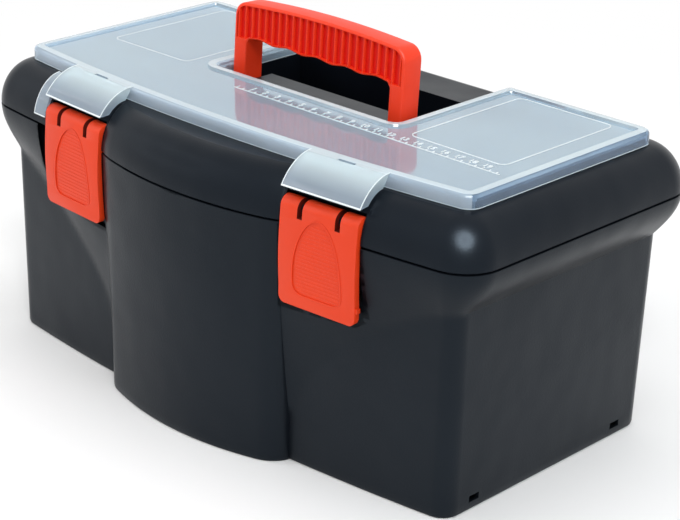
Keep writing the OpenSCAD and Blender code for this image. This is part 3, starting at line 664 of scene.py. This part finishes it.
# height and inset of the cover's side, up to its rounded top
edgeSteps = [(0, 0), (0.6, 0.02), (5.8, 0.15), (6.6, 0.35), (7.2, 0.7), (7.7, 1.2), (8.0, 1.8), (8.2, 2.8)]
shell = loftPiece("coverShell", [(coverZ + h, coverRing(inset)) for h, inset in edgeSteps])
carve(shell, loftPiece("under", [(coverZ - 1, coverRing(cover["wall"])),
                                 (panelUnder - 1, coverRing(cover["wall"])),
                                 (panelUnder, coverRing(cover["wall"] + 1))]))
carve(shell, loftPiece("panel", [(panelTop, coverRing(cover["border"] + 0.6)),
                                 (coverTop + 1, coverRing(cover["border"] - 0.4))]))
earGap, earLow, earHigh = cover["earGap"], cover["earLow"], cover["earHigh"]
raised = []  # edge strips (painted highlights), frames and ruler, one piece in the end
for side in (-1, 1):
    half = cover["hoodWidth"]/2
    hood = prismX("hood", hoodArc(0) + list(reversed(hoodArc(cover["wall"]))), -half, half)
    for k in (-1, 1):
        a, b = sorted((k*half, k*(half - cover["wall"])))
        join(hood, prismX("hoodSide", hoodArc(0.01) + rollArc(earGap, 50, 88), a, b))
    if side < 0:
        outer, inner = rollArc(earGap + cover["wall"], earLow, earHigh), rollArc(earGap, earLow, earHigh)
        join(hood, prismX("ear", outer + list(reversed(inner)), -half - cover["ear"], -half + 0.01))
    # thin pale strips along the free edges of hood and ear, painted highlights
    paintedEdgeHighlights = [prismX("edge", hoodArc(-0.2, 38.4, 2) + list(reversed(hoodArc(0.4, 38.4, 2))), -half, half)]
    for k in (-1, 1):
        a, b = sorted((k*(half + 0.1), k*(half - 0.4)))
        paintedEdgeHighlights.append(prismX("edge", hoodArc(-0.1) + list(reversed(hoodArc(0.3))), a, b))
    if side < 0:
        for a0, a1, reach in ((earLow, earHigh, 0.5), (earLow - 0.5, earLow + 1, cover["ear"])):
            rim = rollArc(1.05 + cover["wall"], a0, a1) + list(reversed(rollArc(0.8, a0, a1)))
            x0 = -half - cover["ear"] - 0.1
            paintedEdgeHighlights.append(prismX("edge", rim, x0, x0 + reach))
    raised += [atLatch(piece, side) for piece in paintedEdgeHighlights]
    carve(hood, boxPiece("window", (-cover["windowHalf"], hoodBack - cover["windowFront"], coverTop - 6),
                         (cover["windowHalf"], hoodBack - cover["windowBack"], coverTop + 4)))
    join(shell, atLatch(hood, side))
    x0 = side*coverHinge["mid"] - coverHinge["lug"]/2
    x1, r = x0 + coverHinge["lug"], coverHinge["r"]
    lugPiece = rodX("coverLug", x0, x1, coverHinge["y"], coverHinge["z"], r)
    join(lugPiece, boxPiece("lugWeb", (x0, cover["back"] - 1, coverZ),
                            (x1, coverHinge["y"], coverHinge["z"] + r)))
    carve(lugPiece, rodX("bore", x0 - 1, x0 + 20, coverHinge["y"], coverHinge["z"], coverHinge["bore"]))
    join(shell, lugPiece)
dress(shell, clearCover)
for material in (milkyEdgePaintedHighlight, milkyHoodPaintedLight, clearSkirt, milkyFront):
    shell.data.materials.append(material)
paintedHighlightSlot, hoodSlot, sideSlot, frontSlot = range(1, 5)
for face in shell.data.polygons:  # the hoods, the raised border and lower edge (brightened as a painted highlight), the front and the side skirt
    x, y, z = face.center/mm
    frontLip = x*x/(2*case["bowRadius"]) - cover["front"]
    if y < frontLip - 0.2 or z < coverZ - 0.3 and y < 0:
        face.material_index = hoodSlot
    elif z > panelTop + 0.3 and abs(face.normal.z) > 0.9 or z < coverZ + 0.5:
        face.material_index = paintedHighlightSlot
    elif abs(face.normal.z) < 0.9 and z < coverTop:
        if y < frontLip + 3:
            face.material_index = frontSlot
        elif abs(x) > cover["half"] - 2.5:
            face.material_index = sideSlot
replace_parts(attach(smooth(shell), "cover"), "cover")

# raised frames and ruler moulded on the cover
marks = {
    "x0": 92, "x1": 161, "y0": -21.7, "y1": 77.4, "line": 0.6, "high": 0.3, "faint": 0.1,
    "rulerX": -36, "rulerEnd": 168, "rulerY": -34, "step": 5, "numbers": 19,
    "numberSize": 5.8, "numberUp": 3.9,
}
for side, high in ((-1, marks["faint"]), (1, marks["high"])):
    x0, x1 = sorted((side*marks["x0"], side*marks["x1"]))
    y0, y1, t = marks["y0"], marks["y1"], marks["line"]
    frameRing = roundBox("frame", x0, x1, y0, y1, panelTop - 0.3, panelTop + high, 5)
    opening = roundBox("frameIn", x0 + t, x1 - t, y0 + t, y1 - t, panelTop - 1, panelTop + 1, 4.2)
    raised.append(carve(frameRing, opening))
raised.append(boxPiece("rulerLine", (marks["rulerX"], marks["rulerY"] - 0.3, panelTop - 0.3),
                       (marks["rulerEnd"], marks["rulerY"] + 0.3, panelTop + marks["high"])))
firstTick = marks["rulerX"] + 1
count = int((marks["rulerEnd"] - marks["rulerX"])/marks["step"]) + 1
for label, every, long in (("ticks", marks["step"], 2.4), ("longTicks", 2*marks["step"], 3.4)):
    raised.append(ribRow(label, whiteMarkAndHighlight, {
        "Count": int(count*marks["step"]/every), **flat, **even,
        "Start": vector(firstTick, marks["rulerY"] + long/2, panelTop),
        "Step": vector(every, 0, 0), "Bar": vector(0.8, 0.6, long), "Turn": [pi/2, 0, 0]}))
for i in range(1, marks["numbers"] + 1):
    words = bpy.data.curves.new("number", "FONT")
    words.body, words.size = str(i), marks["numberSize"]*mm
    words.extrude, words.align_x = marks["high"]*mm, "CENTER"
    holder = bpy.data.objects.new("number", words)
    scene.collection.objects.link(holder)
    numberX, numberY = firstTick + 2*marks["step"]*i, marks["rulerY"] + marks["numberUp"]
    holder.location = Vector((numberX, numberY, panelTop))*mm
    bpy.context.view_layer.update()
    made = bpy.data.meshes.new_from_object(holder.evaluated_get(bpy.context.evaluated_depsgraph_get()))
    made.transform(holder.matrix_world)
    bpy.data.objects.remove(holder)
    raised.append(newPiece("number", made))
coverMarks = dress(gather("coverMarks", raised), whiteMarkAndHighlight)
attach(smooth(coverMarks), "cover")
print("cover made")

# ---- handle ----
handle = {
    "width": 139, "leg": 10.4, "deep": 15.2, "height": 56.6, "rise": 49.9, "grip": 23.5,
    "arch": 2.5, "round": 9, "lean": 2.5, "y": 3.8, "ribs": 24, "recess": 2.6, "border": 1.8,
    "finger": 24, "wave": 0.7, "fluteUp": 1.1, "fluteLeg": 1.5, "ribWide": 1.1, "ribInset": 1.5,
}
pivotZ = lidTop + handle["rise"] - handle["height"]


def archTop(half, high, arch, r, low, steps=10):
    points = [(half, low)] + cornerArc(half - r, high - arch - r, r, 0, 90, steps)
    points += [((half - r)*(1 - i/12), high - arch*(1 - i/12)**2) for i in range(1, 13)]
    return mirrored(points)


half, deep = handle["width"]/2, handle["deep"]/2
outerArch = archTop(half, handle["height"], handle["arch"], handle["round"], 0)
innerHalf, innerTop = half - handle["leg"], handle["height"] - handle["grip"]


def underside(x):  # shallow finger waves
    return innerTop + handle["wave"]*(cos(2*pi*x/handle["finger"]) - 1)


waves = [innerHalf - 2 - 2*i for i in range(29)]
innerArch = mirrored([(innerHalf, -1), (innerHalf, innerTop - 4)] + [(x, underside(x)) for x in waves])
grip = carve(prismY("handleShell", outerArch, -deep, deep), prismY("inside", innerArch, -deep - 1, deep + 1))
for sign in (-1, 1):
    x0, x1 = sorted((sign*half, sign*(half - handle["leg"])))
    join(grip, rodX("eye", x0, x1, 0, 0, deep))
roundEdges(grip, 1.1, 3)
border = handle["border"]
legLow, fluteR = innerTop - handle["fluteLeg"], handle["round"] - 1


def fluteLow(x):  # lower end of the fluted recess
    return underside(x) + handle["fluteUp"] if x < innerHalf else legLow


fluteTop = archTop(half - border, handle["height"] - border, handle["arch"], fluteR, legLow)
panelArch = mirrored([(2*i, fluteLow(2*i)) for i in range(30)] + [(innerHalf + 0.3, legLow)] + fluteTop[:24])
for sign in (-1, 1):
    y0, y1 = sorted((sign*(deep - handle["recess"]), sign*(deep + 2)))
    carve(grip, prismY("recess", panelArch, y0, y1))
dress(grip, orangeHandle)
grip.data.materials.append(orangeGroovePaintedShade)
for face in grip.data.polygons:  # the floor of each fluted recess, deeper red as painted shade
    if abs(abs(face.center.y) - (deep - handle["recess"])*mm) < 1e-5 and abs(face.normal.y) > 0.99:
        face.material_index = 1
turn = Matrix.Translation(Vector((0, handle["y"], pivotZ))*mm) \
    @ Matrix.Rotation(radians(-handle["lean"]), 4, "X")
place(grip, turn)
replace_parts(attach(smooth(grip, 40), "handle"), "handle")
ribReach = half - border - handle["ribInset"]
spread = 2*ribReach/(handle["ribs"] - 1)
ribLow, ribHigh = innerTop, handle["height"] - border + 0.3
ribY, ribDeep = deep - handle["recess"]/2 - 0.1, handle["recess"] + 0.2
shoulder, shoulderZ = half - border - fluteR, ribHigh - handle["arch"] - fluteR
for sign, label in ((-1, "gripRibsFront"), (1, "gripRibsBack")):
    row = ribRow(label, orangeHandle, {
        "Count": handle["ribs"], "Start": vector(-ribReach, sign*ribY, (ribLow + ribHigh)/2), **even,
        "Step": vector(spread, 0, 0), "Bar": vector(handle["ribWide"], ribDeep, ribHigh - ribLow),
        "Turn": [0, 0, 0], "Arch Half": shoulder*mm, "Arch Drop": handle["arch"]*mm})
    for point in row.data.vertices:  # ribs end at the rounded corners above and at the finger waves below
        x, middle = abs(point.co.x)/mm, (ribLow + ribHigh)*mm/2
        corner = shoulderZ + sqrt(max(0, fluteR**2 - max(0, x - shoulder)**2))
        if point.co.z > middle and x > shoulder:
            point.co.z = corner*mm
        elif point.co.z < middle:
            point.co.z = fluteLow(x)*mm
    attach(smooth(place(row, turn)), "handle")
print("handle made")

# ---- latches ----
def plateLine(s):  # front of the plate, from the pin (0) to the foot (1)
    return -latch["barrel"] - 1.6*sin(radians(180*min(1, s*1.25)*0.8)) + 0.6*s


depth = pinZ - latch["foot"]
shield = {
    "low": 113, "mid": 120, "top": 158, "half": 17, "corner": 6, "rim": 0.8, "deep": 0.45, "proud": 0.25,
    "ridges": 19, "ridgeWide": 1.1, "ridgeDeep": 0.5, "ridgeY": 0.46, "ridgeLow": 2.2, "taper": 0.12,
}


def plateBand(near, far, steps=28):  # outline in (y, z) between two offsets from the plate's front
    down = [(plateLine(i/steps) + near, pinZ - depth*i/steps) for i in range(steps + 1)]
    return down + [(plateLine(i/steps) + far, pinZ - depth*i/steps) for i in range(steps, -1, -1)]


def shieldLine(inset):  # outline in (x, z): half an ellipse over a rounded foot
    wide, low, r = shield["half"] - inset, shield["low"] + inset, shield["corner"] - inset
    high = shield["top"] - inset - shield["mid"]
    line = [(0, low), (wide - r, low)]
    line += [(wide - r + r*sin(radians(a)), low + r - r*cos(radians(a))) for a in range(15, 91, 15)]
    line += [(wide*cos(radians(a)), shield["mid"] + high*sin(radians(a))) for a in range(6, 91, 6)]
    return mirrored(line)


for side, label in ((-1, "left"), (1, "right")):
    half = latch["width"]/2
    plate = prismX("latchPlate_" + label, plateBand(0, latch["plate"]), -half, half)
    corner, low = latch["corner"], latch["foot"] - 0.1
    bends = [(corner*sin(radians(a)), corner*cos(radians(a))) for a in range(0, 91, 10)]
    frontOutline = [(-half, pinZ + 1), (-half, low + corner)]
    frontOutline += [(-half + corner - c, low + corner - s) for s, c in bends]
    frontOutline += [(half - corner + s, low + corner - c) for s, c in bends] + [(half, pinZ + 1)]
    keepCommon(plate, prismY("corners", frontOutline, -20, 20))
    join(plate, rodX("barrel", -half, half, 0, pinZ, latch["barrel"]))
    for k in (-1, 1):
        x0, x1 = k*lugAt - latch["slotHalf"], k*lugAt + latch["slotHalf"]
        carve(plate, boxPiece("slot", (x0, -12, pinZ - 4.2), (x1, 8, pinZ + 8)))
    roundEdges(plate, 0.9, 2)
    carve(plate, rodX("bore", -half - 1, half + 1, 0, pinZ, latch["bore"]))
    field = prismX("field", plateBand(-1, shield["deep"]), -half, half)
    carve(plate, keepCommon(field, prismY("shield", shieldLine(0), -20, 20)))
    ring = prismY("rimOut", shieldLine(-shield["rim"]), -20, 20)
    carve(ring, prismY("rimIn", shieldLine(0), -21, 21))
    join(plate, keepCommon(ring, prismX("rim", plateBand(-shield["proud"], 0.3), -half, half)))
    tabY, tabZ = plateLine(0.85) + 0.6, latch["foot"] + latch["tabUp"]
    join(plate, boxPiece("tab", (side*half - 1, tabY, tabZ),
                         (side*half + latch["tabOut"], tabY + latch["tabDeep"], tabZ + latch["tabHigh"])))
    nub = boxPiece("nub", (-half/2, latch["nubFront"], latch["catchZ"] - latch["nubLow"]),
                   (half/2, latch["nubBack"], latch["catchZ"] - latch["nubHigh"]))
    dress(join(plate, nub), orangeLatch)
    plate.data.materials.append(slotPaintedShade)
    for face in plate.data.polygons:  # walls of the slots between the knuckles, darkened as painted shade
        x, _, z = face.center/mm
        inSlot = abs(abs(x) - lugAt) < 2 and z > pinZ - 4.5
        if inSlot and (abs(face.normal.x) > 0.9 or face.normal.z > 0.7):
            face.material_index = 1
    atLatch(plate, side)
    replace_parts(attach(smooth(plate, 40), "latch_" + label), "latch_" + label)
    pitch = (shield["top"] - shield["low"] - 3.5)/shield["ridges"]
    row = ribRow("latchRidges_" + label, orangeLatch, {
        "Count": shield["ridges"], "Taper From": shield["taper"], **flat,
        "Start": vector(0, shield["ridgeY"], shield["low"] + shield["ridgeLow"]), "Step": vector(0, 0, pitch),
        "Bar": vector(shield["ridgeWide"], shield["ridgeDeep"], 2*shield["half"] - 3), "Turn": [0, pi/2, 0]})
    for point in row.data.vertices:
        point.co.y += plateLine((pinZ - point.co.z/mm)/depth)*mm
    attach(smooth(atLatch(row, side)), "latch_" + label)
print("latches made")

# ---- nodes that keep their solid ----
for name in ("tray", "tray_divider_front", "tray_divider_back"):
    dress(bpy.data.objects[name], greyTray)
for name in ("tray_grip", "organiser", "well_liner"):
    dress(bpy.data.objects[name], blackLid)
for end in ("left", "right"):
    for stem in ("divider_mid", "divider_row", "divider_deep", "divider_wing"):
        dress(bpy.data.objects[stem + "_" + end], blackLid)
    for stem in ("latch_pin", "handle_pin", "lid_hinge_pin", "cover_hinge_pin"):
        dress(bpy.data.objects[stem + "_" + end], pinSteel)

# ---- floor, light and camera ----
studio = {"floor": 6, "floorZ": -0.2, "floorShade": 0.86, "shadowNear": 0.3, "shadowFar": 0.85, "world": 0.7}
leftFront, rightFront = (-1.9, -1.5, 1.3), (1.2, -1.1, 1.75)
lamps = {
    "key": {"place": leftFront, "power": 21, "width": 1.2},
    "side": {"place": (2.1, 0.2, 1.1), "power": 8, "width": 1.4, "tint": (0.8, 0.92, 1)},
    "above": {"place": (0.1, 0.2, 2.1), "power": 14, "width": 1.6},
    "fill": {"place": rightFront, "power": 14, "width": 0.4},
    "umbrella": {"place": rightFront, "power": 125, "width": 1.6, "glossy": True},
    "sheen": {"place": leftFront, "power": 10, "width": 1.4, "glossy": True},
}
shot = {
    "right": (0.7068, 0.7072, 0.0183), "up": (-0.2848, 0.2607, 0.9225), "back": (0.6476, -0.6572, 0.3857),
    "place": (0.8091, -0.8458, 0.5636), "sensor": 36, "lens": 108.89, "shift": (0.0808, 0.0016),
}


def seenDirectly(nodes, links):  # 1 for camera, glossy and transmission rays
    rays = nodes.new("ShaderNodeLightPath")
    first, seen = nodes.new("ShaderNodeMath"), nodes.new("ShaderNodeMath")
    first.operation, seen.operation, seen.use_clamp = "ADD", "ADD", True
    links.new(rays.outputs["Is Camera Ray"], first.inputs[0])
    links.new(rays.outputs["Is Transmission Ray"], first.inputs[1])
    links.new(first.outputs[0], seen.inputs[0])
    links.new(rays.outputs["Is Glossy Ray"], seen.inputs[1])
    return seen.outputs[0]


def paleFinish(name, shade, near, far):  # keeps the shadow near the case, plain white farther out
    material, nodes, links, skin = nodesOf(name)
    skin.inputs["Base Color"].default_value = (shade, shade, shade, 1)
    skin.inputs["Roughness"].default_value = 0.9
    where, reach = nodes.new("ShaderNodeTexCoord"), nodes.new("ShaderNodeVectorMath")
    share = nodes.new("ShaderNodeMath")
    white, mix = nodes.new("ShaderNodeEmission"), nodes.new("ShaderNodeMixShader")
    reach.operation, share.operation = "LENGTH", "MULTIPLY"
    links.new(where.outputs["Object"], reach.inputs[0])
    links.new(span(nodes, links, reach.outputs["Value"], 0, 1, near, far), share.inputs[0])
    links.new(seenDirectly(nodes, links), share.inputs[1])
    links.new(share.outputs[0], mix.inputs["Fac"])
    links.new(skin.outputs[0], mix.inputs[1])
    links.new(white.outputs[0], mix.inputs[2])
    links.new(mix.outputs[0], nodes["Material Output"].inputs["Surface"])
    return material


size = studio["floor"]/mm
corners = [(x*size, y*size, studio["floorZ"]) for x, y in ((-1, -1), (1, -1), (1, 1), (-1, 1))]
floor = meshPiece("floor", corners, [(0, 1, 2, 3)])
dress(floor, paleFinish("paleFloor", studio["floorShade"], studio["shadowNear"], studio["shadowFar"]))
floor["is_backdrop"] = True

world = bpy.data.worlds.new("studio")
scene.world = world
world.use_nodes = True
nodes, links = world.node_tree.nodes, world.node_tree.links
plain, white, mix = nodes["Background"], nodes.new("ShaderNodeBackground"), nodes.new("ShaderNodeMixShader")
plain.inputs["Strength"].default_value = studio["world"]
white.inputs["Strength"].default_value = 1.0
for ground in (plain, white):
    ground.inputs["Color"].default_value = (1, 1, 1, 1)
links.new(seenDirectly(nodes, links), mix.inputs["Fac"])
links.new(plain.outputs[0], mix.inputs[1])
links.new(white.outputs[0], mix.inputs[2])
links.new(mix.outputs[0], nodes["World Output"].inputs["Surface"])


def softLight(name, place, power, width, glossy=False, tint=(1, 1, 1)):  # lights surfaces or shows in them
    lamp = bpy.data.lights.new(name, "AREA")
    lamp.energy, lamp.size, lamp.color, lamp.shape = power, width, tint, "DISK"
    holder = bpy.data.objects.new(name, lamp)
    scene.collection.objects.link(holder)
    holder.location = place
    holder.rotation_euler = (Vector((0, 0, 0.1)) - Vector(place)).to_track_quat("-Z", "Y").to_euler()
    holder.visible_camera = holder.visible_transmission = False
    holder.visible_glossy, holder.visible_diffuse = glossy, not glossy


for name, lamp in lamps.items():
    softLight(name, **lamp)

camera = bpy.data.objects.new("camera", bpy.data.cameras.new("camera"))
scene.collection.objects.link(camera)
scene.camera = camera
turned = Matrix((shot["right"], shot["up"], shot["back"])).transposed().to_quaternion().to_matrix().to_4x4()
camera.matrix_world = Matrix.Translation(Vector(shot["place"])) @ turned
camera.data.sensor_width = shot["sensor"]
camera.data.lens = shot["lens"]
camera.data.shift_x, camera.data.shift_y = shot["shift"]
camera.data.clip_start, camera.data.clip_end = 0.05, 50
scene.view_settings.view_transform = "Standard"
print("light and camera set")

low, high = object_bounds()
